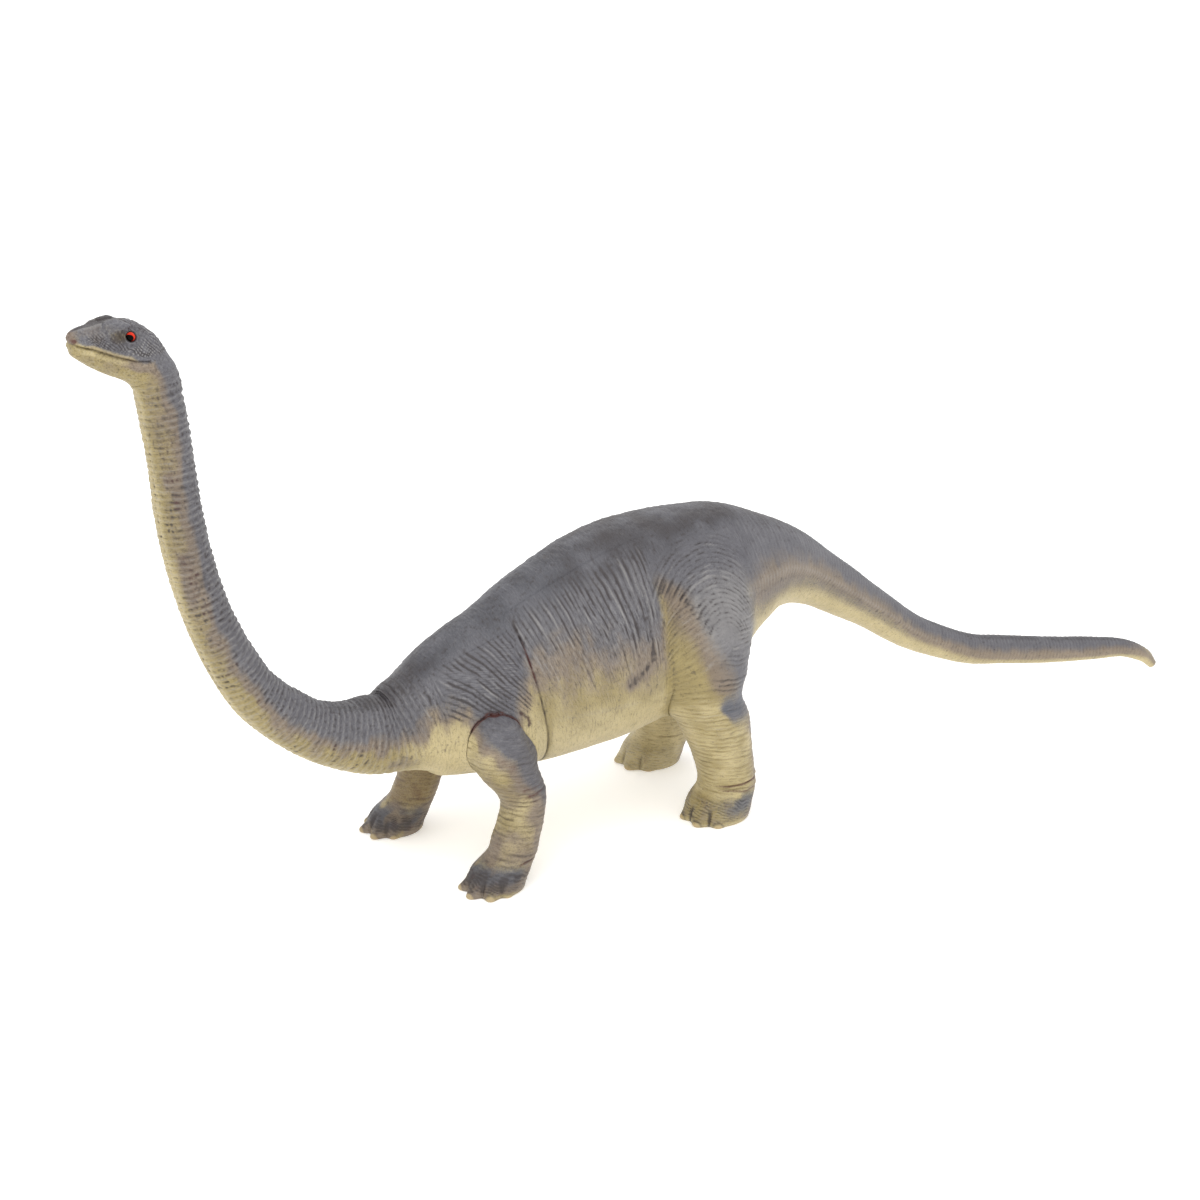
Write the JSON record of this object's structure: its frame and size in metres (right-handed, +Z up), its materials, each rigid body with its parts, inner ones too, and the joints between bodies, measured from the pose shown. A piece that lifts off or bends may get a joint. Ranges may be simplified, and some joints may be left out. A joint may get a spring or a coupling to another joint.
{
  "type": "toy dinosaur figure",
  "caption": "Standing toy figure of a long-necked dinosaur in painted PVC: raised curved neck, small head, arched back, wrinkled hide, grey over cream, long low tail.",
  "frame": {"origin": "on the ground, under the middle of the figure's bounding box", "axes": "+Z up; the head faces -X and the tail runs to +X; the figure's left side is towards -Y"},
  "size_m": [0.4068, 0.0736, 0.1895],
  "materials": {
    "neck_paint": "satin paint on PVC",
    "body_paint": "satin paint on PVC",
    "tail_paint": "satin paint on PVC",
    "front_leg_paint": "satin paint on PVC",
    "hind_leg_paint": "satin paint on PVC"
  },
  "bodies": {
    "root": {"neck_and_head": "neck_paint", "chest": "body_paint", "trunk": "body_paint", "tail_end": "tail_paint", "front_left_leg": "front_leg_paint", "front_right_leg": "front_leg_paint", "hind_left_leg": "hind_leg_paint", "hind_right_leg": "hind_leg_paint"}
  },
  "joints": []
}
